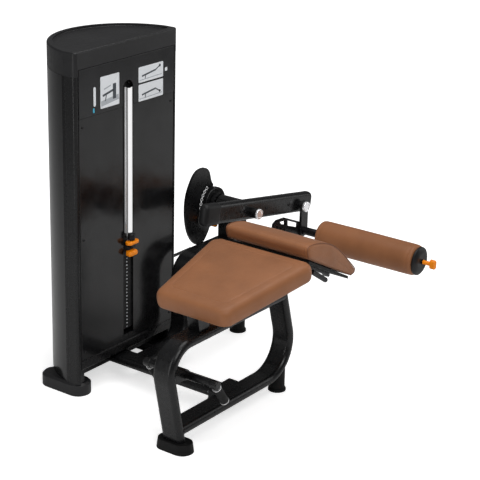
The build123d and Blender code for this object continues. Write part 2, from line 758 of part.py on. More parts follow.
# Lever arm: rounded bar sloping down toward the feet
arm_x, arm_z = polar(1, ARM_DEG)
arm_plane = Plane(origin=(KNEE_X, ARM_Y1, KNEE_Z), x_dir=(arm_x, 0, arm_z), z_dir=(0, -1, 0))
with BuildPart() as arm:
    with BuildSketch(arm_plane) as arm_outline:
        with Locations((74, 12)):
            Rectangle(840, 94)
        fillet(arm_outline.vertices(), 30)
    extrude(amount=ARM_Y1 - ARM_Y0)
    fillet(arm.faces().filter_by(Axis.Y).edges(), 19)
    with BuildSketch(xz(ARM_Y1 + 10)):
        with Locations(KNEE):
            Circle(AXLE_R)
        with Locations(LINK):
            Circle(LINK_PIN_R)
    extrude(amount=70, mode=Mode.SUBTRACT)
save("lever_arm", arm.part)

# Knee boss, link spacer and link pin
save("pivot_bosses",
     cyl_y(KNEE, 23.5, AXLE_Y0, ARM_Y0, AXLE_R),
     cyl_y(LINK, 21.5, 83, ARM_Y0, LINK_PIN_R),
     cyl_y(LINK, LINK_PIN_R, LINK_PIN_Y0, ARM_Y1))


def pivot_cap(centre, y0, y1):
    """Turned cap, domed and slightly dished on its -Y end."""
    radius = 25
    with BuildPart() as part:
        with BuildSketch(profile_plane(centre)):
            with BuildLine():
                Polyline((y1, 0), (y1, radius - 1), (y1 - 1, radius), (y0 + 4, radius))
                ThreePointArc((y0 + 4, radius), (y0 + 1.2, radius - 1.4), (y0, radius - 5))
                Polyline((y0, radius - 5), (y0, radius - 9), (y0 + 1.5, radius - 11),
                         (y0 + 1.5, 0), (y1, 0))
            make_face()
        revolve(axis=y_axis(centre))
    return part.part


save("pivot_caps_chrome", pivot_cap(KNEE, 56, AXLE_Y0), pivot_cap(LINK, 57, LINK_PIN_Y0))

# Start-position crank beside the cam; its pin stands at the last hole of the arc
hole_places = [polar(HOLE_ARC_R, HOLE_FIRST_DEG + HOLE_STEP_DEG * k) for k in range(HOLE_COUNT)]
pin_dx, pin_dz = hole_places[-1]
start_pin_centre = (KNEE_X + pin_dx, KNEE_Z + pin_dz)
with BuildPart() as crank:
    with BuildSketch(xz(303, KNEE)):
        Circle(50)
        with BuildLine():
            Polyline((-42, 26), (26, -42), (pin_dx + 14, pin_dz - 14),
                     (pin_dx - 14, pin_dz + 14), close=True)
        make_face()
        with Locations((pin_dx, pin_dz)):
            Circle(19)
        Circle(AXLE_R, mode=Mode.SUBTRACT)
        with Locations((pin_dx, pin_dz)):
            Circle(START_PIN_R + CLEARANCE, mode=Mode.SUBTRACT)
    extrude(amount=20)
save("start_crank", crank.part)

with BuildPart() as start_pin:
    with BuildSketch(xz(269.5, start_pin_centre)):
        Circle(13)
    extrude(amount=22)
    fillet(start_pin.faces().sort_by(Axis.Y)[0].outer_wire().edges(), 4)
    with BuildSketch(xz(315.5, start_pin_centre)):
        Circle(START_PIN_R)
    extrude(amount=50)
save("start_pin", start_pin.part)

# Cam outline: (x, z) from the knee axis, closed by a straight line
CAM_OUTLINE = [
    (-8, 92), (-26, 122), (-38, 158), (-60, 179), (-92, 186), (-134, 178),
    (-170, 142), (-200, 85), (-210, 18), (-205, -42), (-190, -95), (-163, -140),
    (-130, -169), (-100, -178), (-66, -160), (-30, -110),
]
HUB_R = 74
with BuildPart() as cam:
    with BuildSketch(xz(328, KNEE)):
        with BuildLine():
            cam_curve = Spline(*CAM_OUTLINE)
            Line(cam_curve @ 1, cam_curve @ 0)
        make_face()
        Circle(HUB_R)
        Circle(AXLE_R + CLEARANCE, mode=Mode.SUBTRACT)
        with Locations(*hole_places):
            Circle(6.5, mode=Mode.SUBTRACT)
    extrude(amount=12)
    with BuildSketch(xz(317, KNEE)):
        Circle(HUB_R)
        Circle(AXLE_R + CLEARANCE, mode=Mode.SUBTRACT)
    extrude(amount=11)
    fillet(cam.faces().filter_by(Axis.Y).sort_by(Axis.Y)[0].outer_wire().edges(), 5)
save("cam_disc", cam.part)

# ================================================================ ROLLER CARRIAGE
link_w = 56
with BuildPart() as link:
    with BuildSketch(xz(82, LINK)):
        with Locations((0, -LINK_DROP / 2)):
            SlotOverall(LINK_DROP + link_w, link_w, rotation=90)
        Circle(LINK_PIN_R + CLEARANCE, mode=Mode.SUBTRACT)
        with Locations((0, -LINK_DROP)):
            Circle(SHAFT_R, mode=Mode.SUBTRACT)
    extrude(amount=12)
    fillet(link.faces().filter_by(Axis.Y).sort_by(Axis.Y)[0].outer_wire().edges(), 2)
save("roller_link", link.part)

# Adjuster plate reaching from the roller toward the head; all points (x, z) from the link pivot
ADJUSTER_OUTLINE = [
    (-231, -30), (-205, -18), (-140, -22), (-22, -72), (-8, -96), (20, -100),
    (38, -128), (26, -152), (-6, -158), (-136, -112), (-210, -84), (-236, -58),
]
ADJUSTER_OPENINGS = [
    [(-186, -30), (-138, -34), (-136, -58), (-176, -44)],
    [(-124, -40), (-34, -78), (-34, -98), (-122, -66)],
]
ADJUSTER_HOLES = [(-209, -51), (-180, -66), (-151, -80)]
with BuildPart() as adjuster:
    with BuildSketch(xz(96, LINK)) as adjuster_face:
        with BuildLine():
            Polyline(*ADJUSTER_OUTLINE, close=True)
        make_face()
        fillet(adjuster_face.vertices(), 5)
        for opening in ADJUSTER_OPENINGS:
            with BuildLine():
                Polyline(*opening, close=True)
            make_face(mode=Mode.SUBTRACT)
        with Locations(*ADJUSTER_HOLES):
            Circle(7.5, mode=Mode.SUBTRACT)
        with Locations((0, -LINK_DROP)):
            Circle(SHAFT_R, mode=Mode.SUBTRACT)
    extrude(amount=13.7)
save("adjuster_plate", adjuster.part)

# Roller shaft with a thicker collar near +Y and a bore for the knob stem at -Y
with BuildPart() as shaft:
    with BuildSketch(xz(96, ROLLER)):
        Circle(SHAFT_R)
    extrude(amount=96 + 576)
    with BuildSketch(xz(70, ROLLER)):
        Circle(19)
    extrude(amount=94)
    with BuildSketch(xz(-556, ROLLER)):
        Circle(KNOB_STEM_R + CLEARANCE)
    extrude(amount=30, mode=Mode.SUBTRACT)
save("roller_shaft", shaft.part)
save("roller_core", cyl_y(ROLLER, CORE_R, -551, -26, SHAFT_R + CLEARANCE))

with BuildPart() as roller_pad:
    with BuildSketch(xz(ROLLER_Y1, ROLLER)):
        Circle(ROLLER_R)
        Circle(CORE_R + 0.2, mode=Mode.SUBTRACT)
    extrude(amount=ROLLER_Y1 - ROLLER_Y0)
    for end in (0, -1):
        end_face = roller_pad.faces().filter_by(Axis.Y).sort_by(Axis.Y)[end]
        fillet(end_face.outer_wire().edges(), 9)
save("roller_pad", roller_pad.part)

# End cap profile: (y, radius)
cap_y = -551.2
cap_bore_r = 11.3
with BuildPart() as end_cap:
    with BuildSketch(profile_plane(ROLLER)):
        with BuildLine():
            Polyline((cap_y, cap_bore_r), (cap_y, 64), (-555, 66), (-560, 65))
            ThreePointArc((-560, 65), (-568, 52), (-571, 30))
            Polyline((-571, 30), (-571, cap_bore_r), (cap_y, cap_bore_r))
        make_face()
    revolve(axis=y_axis(ROLLER))
save("roller_end_cap", end_cap.part)

# Roller knob: stem, neck and stadium grip
with BuildPart() as knob:
    with BuildSketch(xz(-558, ROLLER)):
        Circle(KNOB_STEM_R)
    extrude(amount=20)
    with BuildSketch(xz(-578, ROLLER)):
        Circle(10)
    extrude(amount=40)
    with BuildSketch(xz(-616, ROLLER)):
        SlotOverall(44, 24, rotation=90)
    extrude(amount=26)
    fillet(knob.faces().sort_by(Axis.Y)[0].edges(), 8)
save("roller_knob", knob.part)

# ================================================================ PADS
# Chest pad and board: trapezoids, rising and widening toward the hips
chest_dx = CHEST_HIP[0] - CHEST_HEAD[0]
chest_dz = CHEST_HIP[1] - CHEST_HEAD[1]
chest_angle = math.atan2(chest_dz, chest_dx)
chest_l = math.hypot(chest_dx, chest_dz)
chest_plane = Plane(origin=(CHEST_HEAD[0], BENCH_Y, CHEST_HEAD[1]),
                    x_dir=(math.cos(chest_angle), 0, math.sin(chest_angle)),
                    z_dir=(-math.sin(chest_angle), 0, math.cos(chest_angle)))


def chest_slab(inset, bottom, top, corner_r, edge_r=0.0):
    head_half_w = 176 - inset
    hip_half_w = 256 - inset
    with BuildPart() as part:
        with BuildSketch(chest_plane.offset(top)) as outline:
            with BuildLine():
                Polyline((inset, -head_half_w), (chest_l - inset, -hip_half_w),
                         (chest_l - inset, hip_half_w), (inset, head_half_w), close=True)
            make_face()
            fillet(outline.vertices(), corner_r)
        extrude(amount=-(top - bottom))
        if edge_r > 0:
            fillet(part.faces().sort_by(Axis.Z)[-1].edges(), edge_r)
    return part.part


save("chest_pad", chest_slab(0.0, -CHEST_PAD_T, 0.0, 46, 12))
save("chest_board", chest_slab(10.0, -CHEST_BOARD_BOTTOM, -CHEST_PAD_T - 0.2, 40))

# Thigh pad: crowned top, (x, z) from the head end to the foot end
THIGH_CROWN = [
    (-112, 727), (-100, 737), (-20, 734), (70, 706), (138, 657), (215, 584),
    (258, 540), (262, 526), (254, 512),
]
with BuildPart() as thigh_pad:
    with BuildSketch(xz(THIGH_Y1)):
        with BuildLine():
            Polyline(THIGH_HEAD, THIGH_CROWN[0])
            Spline(*THIGH_CROWN)
            Line(THIGH_CROWN[-1], THIGH_TOE)
            Line(THIGH_TOE, THIGH_HEAD)
        make_face()
    extrude(amount=THIGH_Y1 - THIGH_Y0)
save("thigh_pad", thigh_pad.part)

thigh_slope = (THIGH_TOE[1] - THIGH_HEAD[1]) / (THIGH_TOE[0] - THIGH_HEAD[0])


def under_thigh(x, drop):
    """Point (x, z) at a drop below the underside of the thigh pad."""
    return x, THIGH_HEAD[1] + thigh_slope * (x - THIGH_HEAD[0]) - drop


# Board right under the pad, and two rails under the board
save("thigh_board", plate_xz(THIGH_Y0 + 12, THIGH_Y1 - 12, [
    under_thigh(-88, 0.2), under_thigh(218, 0.2), under_thigh(218, 13), under_thigh(-88, 13)]))
rail_outline = [under_thigh(x, drop) for x, drop in (
    (-80, 13.2), (150, 13.2), (150, 26), (142, 34), (134, 28), (-80, 28))]
save("thigh_rails", *[plate_xz(y, y + 30, rail_outline)
                      for y in (BENCH_Y - 150, BENCH_Y + 120)])

# Seat bracket on top of the rear leg, bored for the latch shaft
with BuildPart() as seat:
    with BuildSketch(xz(BENCH_Y + 36)):
        with BuildLine():
            Polyline((-84, 550.0), under_thigh(-84, 14.0), under_thigh(40, 14.0), (20, 579.6),
                     close=True)
        make_face()
    extrude(amount=72)
    with BuildSketch(xz(BENCH_Y + 60, LATCH)):
        Circle(8.0 + CLEARANCE)
    extrude(amount=120, mode=Mode.SUBTRACT)


def under_chest(x):
    """Point (x, z) just below the underside of the chest board."""
    rise = (x - CHEST_HEAD[0]) * math.tan(chest_angle)
    return x, CHEST_HEAD[1] + rise - CHEST_BOARD_BOTTOM / math.cos(chest_angle) - 0.1


# Two chest brackets that stand on the loop tube and widen upward
bracket_z = LOOP_TOP_Z + 20
with BuildPart() as chest_brackets:
    for x0, x1 in ((-585, -525), (-230, -160)):
        with BuildSketch(xz(BENCH_Y + 28)):
            with BuildLine():
                Polyline((x0, bracket_z), under_chest(x0 - 12), under_chest(x1 + 12),
                         (x1, bracket_z), close=True)
            make_face()
        extrude(amount=56)
    add(front_tube, mode=Mode.SUBTRACT)
save("pad_brackets", seat.part, chest_brackets.part)

# Latch lever under the thigh pad: cross shaft and a grip sloping down toward the feet
latch_x, latch_z = polar(1, -33)
grip_plane = Plane(origin=(LATCH[0], BENCH_Y - 190, LATCH[1]), x_dir=(0, 1, 0),
                   z_dir=(latch_x, 0, latch_z))
with BuildPart() as latch:
    with BuildSketch(xz(BENCH_Y + 44, LATCH)):
        Circle(8)
    extrude(amount=44 + 202)
    with BuildSketch(grip_plane):
        Circle(11)
    extrude(amount=128)
    fillet(latch.faces().sort_by(Axis.X)[-1].edges(), 8)
save("latch_lever", latch.part)

# ================================================================ HANDLEBAR
BAR_R = 16
bar = cyl_y(HANDLE, BAR_R, HANDLE_Y0, HANDLE_Y1)

# Bracket from the front leg with a ring around the bar
with BuildPart() as bar_bracket:
    with BuildSketch(xz(BENCH_Y + 26)):
        with BuildLine():
            Polyline((-790, 334), (HANDLE[0], HANDLE[1] + 20), (HANDLE[0], HANDLE[1] - 20),
                     (-790, 300), close=True)
        make_face()
        with Locations(HANDLE):
            Circle(23)
            Circle(BAR_R, mode=Mode.SUBTRACT)
    extrude(amount=52)
    add(front_tube, mode=Mode.SUBTRACT)
# keep the piece on the +X side of the leg
bracket = sorted(bar_bracket.part.solids(), key=lambda s: -s.bounding_box().max.X)[0]

GRIP_DIRECTION = Vector(65, 0, -93).normalized()
ELBOW_HALF_W = 17


def elbow(y, plane):
    """Short drum at the end of the bar with a stub toward the grip."""
    with BuildPart() as part:
        with BuildSketch(xz(y + ELBOW_HALF_W, HANDLE)):
            Circle(18.5)
        extrude(amount=2 * ELBOW_HALF_W)
        fillet(part.edges().filter_by(GeomType.CIRCLE), 5)
        with BuildSketch(plane):
            Circle(15.5)
        extrude(amount=22)
    return part.part


elbows = []
grips = []
rings = []
for y in (HANDLE_Y0 - ELBOW_HALF_W, HANDLE_Y1 + ELBOW_HALF_W):
    plane = Plane(origin=(HANDLE[0], y, HANDLE[1]), x_dir=(0, 1, 0), z_dir=GRIP_DIRECTION)
    elbows.append(elbow(y, plane))
    grips.append(rounded_rod(plane.offset(24), 18, 88, edge=2))
    grips.append(rounded_rod(plane.offset(114.6), 17.5, 7, edge=2.5))
    rings.append(rounded_rod(plane.offset(22.1), 18.8, 1.8))
    rings.append(rounded_rod(plane.offset(112.1), 18.8, 2.4))
save("handlebar", bar, bracket, *elbows)
save("grip_rings", *rings)
save("hand_grips", *grips)
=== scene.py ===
"""Looks of a leg-curl machine: sewn pads, weight-tower details, lever details, studio.

The frame is in metres, +Z up, floor at z = 0, origin under the middle of the footprint.
The pads run along X with the weight tower behind them at +Y; the camera looks from -X, -Y.
Pieces are laid out in millimetres in the machine's own axes, and at() brings them into
the frame. Constants are millimetres unless a comment says otherwise.
"""
import json
import math
import bmesh
import bpy
from mathutils import Matrix, Vector, noise


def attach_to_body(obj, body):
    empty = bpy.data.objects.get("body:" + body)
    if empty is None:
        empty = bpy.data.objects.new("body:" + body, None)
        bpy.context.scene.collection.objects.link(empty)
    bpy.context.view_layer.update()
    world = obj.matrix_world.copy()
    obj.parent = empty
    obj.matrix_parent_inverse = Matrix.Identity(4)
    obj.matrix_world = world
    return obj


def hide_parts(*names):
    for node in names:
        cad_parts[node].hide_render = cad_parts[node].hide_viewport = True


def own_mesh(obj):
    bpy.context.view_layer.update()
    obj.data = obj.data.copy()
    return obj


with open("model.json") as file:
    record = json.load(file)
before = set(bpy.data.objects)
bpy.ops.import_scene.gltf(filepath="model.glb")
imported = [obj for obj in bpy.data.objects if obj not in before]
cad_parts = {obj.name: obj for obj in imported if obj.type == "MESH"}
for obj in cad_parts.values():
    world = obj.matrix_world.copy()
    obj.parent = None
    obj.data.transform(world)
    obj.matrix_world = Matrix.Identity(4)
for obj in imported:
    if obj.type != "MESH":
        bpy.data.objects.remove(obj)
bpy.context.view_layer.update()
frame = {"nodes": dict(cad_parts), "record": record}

SHIFT_X, SHIFT_Y = -0.0313, 0.0115      # machine origin seen from the footprint centre, metres
PAD_MID_Y = -310.5                      # middle plane of the chest and thigh pads
TOWER_X = -279.0                        # middle of the weight tower
PIVOT_X, PIVOT_Z = 357.0, 622.0         # lever and cam axis
ARM_TILT = math.radians(-9.83)          # lever arm against the X axis


# ------------------------------------------------------------------ shader helpers
MAT = {}                                # every material by name


def new_material(name):
    material = bpy.data.materials.new(name)
    material.use_nodes = True
    MAT[name] = material
    tree = material.node_tree
    return tree, tree.nodes["Principled BSDF"]


def set_inputs(shader_node, values):
    for socket, value in values.items():
        shader_node.inputs[socket].default_value = value


def set_glow(shader, strength):
    set_inputs(shader, {"Emission Color": (1, 1, 1, 1), "Emission Strength": strength})


def grey(value):
    return (value, value, value)


def scaled(color, factor):
    return tuple(channel * factor for channel in color)


def ramp(tree, fac, stops):
    """Colour ramp; stops are (position, colour)."""
    ramp_node = tree.nodes.new("ShaderNodeValToRGB")
    elements = ramp_node.color_ramp.elements
    for element, (position, color) in zip(elements, (stops[0], stops[-1])):
        element.position, element.color = position, (*color, 1)
    for position, color in stops[1:-1]:
        elements.new(position).color = (*color, 1)
    tree.links.new(fac, ramp_node.inputs["Fac"])
    return ramp_node.outputs["Color"]


def noise_texture(tree, vector, scale, detail=4.0, rough=0.55):
    texture = tree.nodes.new("ShaderNodeTexNoise")
    set_inputs(texture, {"Scale": scale, "Detail": detail, "Roughness": rough})
    tree.links.new(vector, texture.inputs["Vector"])
    return texture.outputs["Fac"]


def coords(tree, scale=None):
    """Object coordinates, through a mapping node if a scale is given."""
    vector = tree.nodes.new("ShaderNodeTexCoord").outputs["Object"]
    if scale:
        mapping = tree.nodes.new("ShaderNodeMapping")
        mapping.inputs["Scale"].default_value = scale
        tree.links.new(vector, mapping.inputs["Vector"])
        vector = mapping.outputs["Vector"]
    return vector


def bump(tree, height, strength, distance, normal=None):
    bump_node = tree.nodes.new("ShaderNodeBump")
    set_inputs(bump_node, {"Strength": strength, "Distance": distance})
    tree.links.new(height, bump_node.inputs["Height"])
    if normal is not None:
        tree.links.new(normal, bump_node.inputs["Normal"])
    return bump_node.outputs["Normal"]


# ------------------------------------------------------------------ materials
def coated(name, base, rough_low, rough_high, grain, grain_height, specular, coat, drift):
    """Powder coat or moulded plastic: fine orange peel, cloudy roughness, a little tone drift."""
    tree, shader = new_material(name)
    vector = coords(tree)
    cloud = noise_texture(tree, vector, scale=5.0, detail=3.0)
    fine = noise_texture(tree, vector, scale=grain, detail=2.0)
    color = ramp(tree, cloud, [(0.3, scaled(base, 1 - drift)), (0.7, scaled(base, 1 + drift))])
    tree.links.new(color, shader.inputs["Base Color"])
    mid = noise_texture(tree, vector, scale=38.0, detail=5.0)
    rough = ramp(tree, mid, [(0.3, grey(rough_low)), (0.75, grey(rough_high))])
    tree.links.new(rough, shader.inputs["Roughness"])
    normal = bump(tree, fine, strength=0.35, distance=grain_height)
    tree.links.new(normal, shader.inputs["Normal"])
    set_inputs(shader, {"Specular IOR Level": specular, "Coat Weight": coat,
                        "Coat Roughness": 0.12})


def gloss(name, base):
    """Gloss black sheet: faint smudges in the reflection, a very slight waviness, and colour
    lightened in tall vertical streaks as painted highlight streaks.
    """
    tree, shader = new_material(name)
    vector = coords(tree)
    waviness_and_painted_streaks = noise_texture(tree, coords(tree, (3.0, 3.0, 0.55)), scale=2.2, detail=2.0)
    smudge = noise_texture(tree, vector, scale=14.0, detail=6.0, rough=0.65)
    # the colour is lighter in tall vertical streaks: painted highlight streaks of the reflection
    color = ramp(tree, waviness_and_painted_streaks, [(0.35, scaled(base, 0.75)), (0.7, scaled(base, 1.5))])
    tree.links.new(color, shader.inputs["Base Color"])
    rough = ramp(tree, smudge, [(0.35, grey(0.13)), (0.75, grey(0.26))])
    tree.links.new(rough, shader.inputs["Roughness"])
    tree.links.new(bump(tree, waviness_and_painted_streaks, strength=0.06, distance=0.004), shader.inputs["Normal"])
    shader.inputs["Specular IOR Level"].default_value = 0.42


def metal(name, base, rough_low, rough_high, glow):
    """Finely grained metal; a glow keeps it bright in the dark studio."""
    tree, shader = new_material(name)
    grain = noise_texture(tree, coords(tree, (1, 1, 1)), scale=220.0, detail=3.0)
    cloud = noise_texture(tree, coords(tree), scale=20.0, detail=4.0)
    color = ramp(tree, cloud, [(0.3, scaled(base, 0.9)), (0.7, base)])
    tree.links.new(color, shader.inputs["Base Color"])
    rough = ramp(tree, grain, [(0.3, grey(rough_low)), (0.7, grey(rough_high))])
    tree.links.new(rough, shader.inputs["Roughness"])
    tree.links.new(bump(tree, grain, strength=0.12, distance=0.00008), shader.inputs["Normal"])
    shader.inputs["Metallic"].default_value = 1.0
    if glow:
        set_glow(shader, glow)


def leather(name, base):
    """Upholstery vinyl: pebbled grain, soft sheen, small tone drift."""
    tree, shader = new_material(name)
    vector = coords(tree)
    cloud = noise_texture(tree, vector, scale=7.0, detail=4.0)
    color = ramp(tree, cloud, [(0.3, scaled(base, 0.86)), (0.55, base), (0.75, scaled(base, 1.10))])
    tree.links.new(color, shader.inputs["Base Color"])
    pebbles = tree.nodes.new("ShaderNodeTexVoronoi")
    pebbles.feature = "DISTANCE_TO_EDGE"
    pebbles.inputs["Scale"].default_value = 620.0
    tree.links.new(vector, pebbles.inputs["Vector"])
    soft = noise_texture(tree, vector, scale=60.0, detail=3.0)
    soft_normal = bump(tree, soft, strength=0.18, distance=0.0012)
    normal = bump(tree, pebbles.outputs["Distance"], strength=0.30, distance=0.0006,
                  normal=soft_normal)
    tree.links.new(normal, shader.inputs["Normal"])
    patches = noise_texture(tree, vector, scale=26.0, detail=5.0)
    rough = ramp(tree, patches, [(0.3, grey(0.42)), (0.7, grey(0.58))])
    tree.links.new(rough, shader.inputs["Roughness"])
    set_inputs(shader, {"Specular IOR Level": 0.34, "Sheen Weight": 0.06})


def woven(name, base):
    tree, shader = new_material(name)
    vector = coords(tree)
    wave = tree.nodes.new("ShaderNodeTexWave")
    set_inputs(wave, {"Scale": 260.0, "Distortion": 1.2})
    tree.links.new(vector, wave.inputs["Vector"])
    threads = wave.outputs["Fac"]
    color = ramp(tree, threads, [(0.1, scaled(base, 0.6)), (0.9, scaled(base, 1.5))])
    tree.links.new(color, shader.inputs["Base Color"])
    tree.links.new(bump(tree, threads, strength=0.4, distance=0.0004), shader.inputs["Normal"])
    shader.inputs["Roughness"].default_value = 0.75


def bright_stay(name):
    """Pale bar with noise drawn out along Z as painted reflection streaks in the colour, and a glow
    as a painted highlight.
    """
    tree, shader = new_material(name)
    painted_reflection_streak = noise_texture(tree, coords(tree, (1, 1, 0.05)), scale=160.0, detail=3.0)
    color = ramp(tree, painted_reflection_streak, [(0.3, grey(0.80)), (0.7, grey(0.92))])
    tree.links.new(color, shader.inputs["Base Color"])
    rough = ramp(tree, painted_reflection_streak, [(0.3, grey(0.20)), (0.7, grey(0.34))])
    tree.links.new(rough, shader.inputs["Roughness"])
    # the glow is a painted highlight
    set_glow(shader, 0.85)


# name, base colour, roughness low and high, grain scale, grain height (m), specular,
# clear coat weight, tone drift (share of the base colour)
COATED = [
    ("frame_black", (0.0055, 0.0055, 0.006), 0.22, 0.36, 1100.0, 0.00012, 0.34, 0.0, 0.25),
    ("cap_dark", (0.012, 0.012, 0.013), 0.34, 0.48, 1500.0, 0.00015, 0.36, 0.0, 0.25),
    ("weight_black", (0.006, 0.006, 0.0065), 0.38, 0.58, 500.0, 0.0003, 0.32, 0.0, 0.25),
    ("rubber_black", (0.005, 0.005, 0.005), 0.50, 0.70, 700.0, 0.0003, 0.22, 0.0, 0.25),
    ("plastic_black", (0.006, 0.006, 0.0065), 0.36, 0.52, 900.0, 0.0002, 0.30, 0.0, 0.25),
    ("board_black", (0.012, 0.012, 0.012), 0.6, 0.8, 300.0, 0.0004, 0.3, 0.0, 0.25),
    ("orange", (0.98, 0.275, 0.002), 0.30, 0.46, 600.0, 0.0002, 0.34, 0.08, 0.08),
    ("picture_pale", (0.80, 0.83, 0.86), 0.25, 0.4, 400.0, 0.0001, 0.4, 0.0, 0.04),
    ("picture_ink", (0.05, 0.06, 0.07), 0.3, 0.45, 400.0, 0.0001, 0.4, 0.0, 0.1),
    ("picture_blue", (0.06, 0.42, 0.60), 0.3, 0.45, 400.0, 0.0001, 0.4, 0.0, 0.1),
    ("sleeve_black", (0.008, 0.008, 0.0085), 0.42, 0.56, 1400.0, 0.0002, 0.30, 0.0, 0.25),
    ("picture_mid", (0.42, 0.45, 0.48), 0.25, 0.4, 400.0, 0.0001, 0.4, 0.0, 0.10),
]
# name, base colour, roughness low and high, glow
METALS = [
    ("chrome", (0.93, 0.93, 0.95), 0.08, 0.18, 0.15),
    ("bronze", (0.55, 0.36, 0.16), 0.25, 0.45, 0.0),
    ("bolt_steel", (0.42, 0.42, 0.44), 0.22, 0.38, 0.0),
    # hole_rim glows as a painted highlight
    ("hole_rim", (0.88, 0.88, 0.90), 0.25, 0.40, 0.7),
]
for row in COATED:
    coated(*row)
for row in METALS:
    metal(*row)
gloss("shell_black", base=(0.006, 0.006, 0.0065))
gloss("placard_black", base=(0.008, 0.008, 0.009))
leather("pad_brown", base=(0.300, 0.118, 0.046))
leather("pad_piping", base=(0.200, 0.075, 0.030))
woven("belt_black", base=(0.012, 0.012, 0.012))
bright_stay("stay_bright")

for subpart in frame["record"]["subparts"]:
    piece = frame["nodes"][subpart["node"]]
    material = MAT[subpart["material_slot"]]
    if not piece.material_slots:
        piece.data.materials.append(material)
    else:
        for material_slot in piece.material_slots:
            material_slot.material = material


# ------------------------------------------------------------------ mesh helpers
def at(x, y, z):
    """Machine millimetres to frame metres."""
    return Vector((x / 1000.0 + SHIFT_X, y / 1000.0 + SHIFT_Y, z / 1000.0))


def link_object(name, data):
    obj = bpy.data.objects.new(name, data)
    bpy.context.scene.collection.objects.link(obj)
    return obj


def attach(obj, body):
    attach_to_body(obj, body)


def add_mesh(name, verts, faces, material, smooth=True):
    """Mesh object with its face normals turned outward."""
    mesh = bpy.data.meshes.new(name)
    mesh.from_pydata([tuple(v) for v in verts], [], faces)
    mesh.validate()
    mesh.materials.append(MAT[material])
    for face in mesh.polygons:
        face.use_smooth = smooth
    mesh.update()
    obj = link_object(name, mesh)
    bm = bmesh.new()
    bm.from_mesh(mesh)
    bmesh.ops.recalc_face_normals(bm, faces=bm.faces)
    bm.to_mesh(mesh)
    bm.free()
    return obj


def ring_faces(count, size, start=0, closed=False):
    """Quads between successive rings of equal size; closed joins the last to the first."""
    faces = []
    for i in range(count if closed else count - 1):
        ring, after = start + i * size, start + (i + 1) % count * size
        for k in range(size):
            k_next = (k + 1) % size
            faces.append((ring + k, ring + k_next, after + k_next, after + k))
    return faces


def circle(x, y, radius, count):
    """Circle points in any plane."""
    return [(x + radius * math.cos(2 * math.pi * k / count),
             y + radius * math.sin(2 * math.pi * k / count)) for k in range(count)]


def rings_along_y(x, z, stations, count):
    """Circles about an axis parallel to Y; stations are (radius, y)."""
    return [at(px, y, pz) for radius, y in stations for px, pz in circle(x, z, radius, count)]


def plate(outline, y_front, y_back, start=0):
    """Square-sided plate from an (x, z) outline; y_front is its -Y face."""
    size = len(outline)
    verts = [at(x, y, z) for y in (y_front, y_back) for x, z in outline]
    faces = [tuple(range(start, start + size)),
             tuple(range(start + 2 * size - 1, start + size - 1, -1))]
    for k in range(start, start + size):
        k_next = start + (k - start + 1) % size
        faces.append((k, k + size, k_next + size, k_next))
    return verts, faces


def rounded_poly(corners, radius, arc_steps, side_step):
    """Closed outline of a convex polygon with rounded corners, evenly filled along the sides."""
    arcs, count = [], len(corners)
    for i in range(count):
        corner = Vector(corners[i])
        to_last = (Vector(corners[i - 1]) - corner).normalized()
        to_next = (Vector(corners[(i + 1) % count]) - corner).normalized()
        half = math.acos(max(-1, min(1, to_last.dot(to_next)))) / 2
        reach = radius / math.tan(half)
        center = corner + (to_last + to_next).normalized() * (radius / math.sin(half))
        first, last = corner + to_last * reach, corner + to_next * reach
        angle = math.atan2(first.y - center.y, first.x - center.x)
        end_angle = math.atan2(last.y - center.y, last.x - center.x)
        turn = (end_angle - angle + math.pi) % (2 * math.pi) - math.pi
        arcs.append([(center.x + radius * math.cos(angle + turn * k / arc_steps),
                      center.y + radius * math.sin(angle + turn * k / arc_steps))
                     for k in range(arc_steps + 1)])
    outline = []
    for i in range(count):
        outline += arcs[i]
        side_start, side_end = Vector(arcs[i][-1]), Vector(arcs[(i + 1) % count][0])
        steps = max(1, int((side_end - side_start).length / side_step))
        outline += [tuple(side_start.lerp(side_end, k / steps)) for k in range(1, steps)]
    return outline


def rounded_box(name, center, size, bevel, material, body, tilt=0.0):
    """Bevelled box; tilt turns it in the XZ plane, from +X towards +Z."""
    bm = bmesh.new()
    bmesh.ops.create_cube(bm, size=1.0)
    for v in bm.verts:
        v.co = Vector([c * length for c, length in zip(v.co, size)]) / 1000.0
    bmesh.ops.bevel(bm, geom=list(bm.edges), offset=bevel / 1000.0, segments=5,
                    affect="EDGES", profile=0.5)
    cos, sin = math.cos(tilt), math.sin(tilt)
    for v in bm.verts:
        x, y, z = v.co
        v.co = Vector((x * cos - z * sin, y, x * sin + z * cos)) + at(*center)
    mesh = bpy.data.meshes.new(name)
    bm.to_mesh(mesh)
    bm.free()
    for face in mesh.polygons:
        face.use_smooth = True
    mesh.materials.append(MAT[material])
    attach(link_object(name, mesh), body)


# ------------------------------------------------------------------ chest pad
CHEST_LOW_X, CHEST_LOW_Z = -624.0, 610.9        # -X end of the sloping pad
CHEST_HIGH_X, CHEST_HIGH_Z = -124.0, 691.0      # +X end
CHEST_LOW_HALF, CHEST_HIGH_HALF = 177, 257      # half widths at these ends
CHEST_CORNER = 40.0
CHEST_BOTTOM = -81.5
CHEST_SHRINK = 240.0    # an inset of this size would shrink the outline to its centre
# (inset from the outline, height over the pad plane), from the underside over the edge
# and across the sewn groove to the middle of the top
CHEST_PROFILE = [
    (34, CHEST_BOTTOM), (20, CHEST_BOTTOM), (10, -80.0), (4.0, -76), (1.0, -69), (-0.4, -58),
    (-1.2, -46), (-1.0, -34), (0.4, -24), (3.4, -16.6), (8.0, -10.8), (14, -6.8), (21, -4.4),
    (29, -3.2), (38, -2.5), (46, -2.0), (50, -2.0), (51.5, -2.4), (52.5, -2.7), (53.5, -2.4),
    (56, -1.6), (64, -0.9), (78, 0.1), (98, 1.1), (122, 2.0), (150, 2.7), (180, 3.1),
    (205, 3.3), (226, 3.4)]
chest_rise, chest_run = CHEST_HIGH_Z - CHEST_LOW_Z, CHEST_HIGH_X - CHEST_LOW_X
chest_slope = math.atan2(chest_rise, chest_run)
chest_length = math.hypot(chest_run, chest_rise)


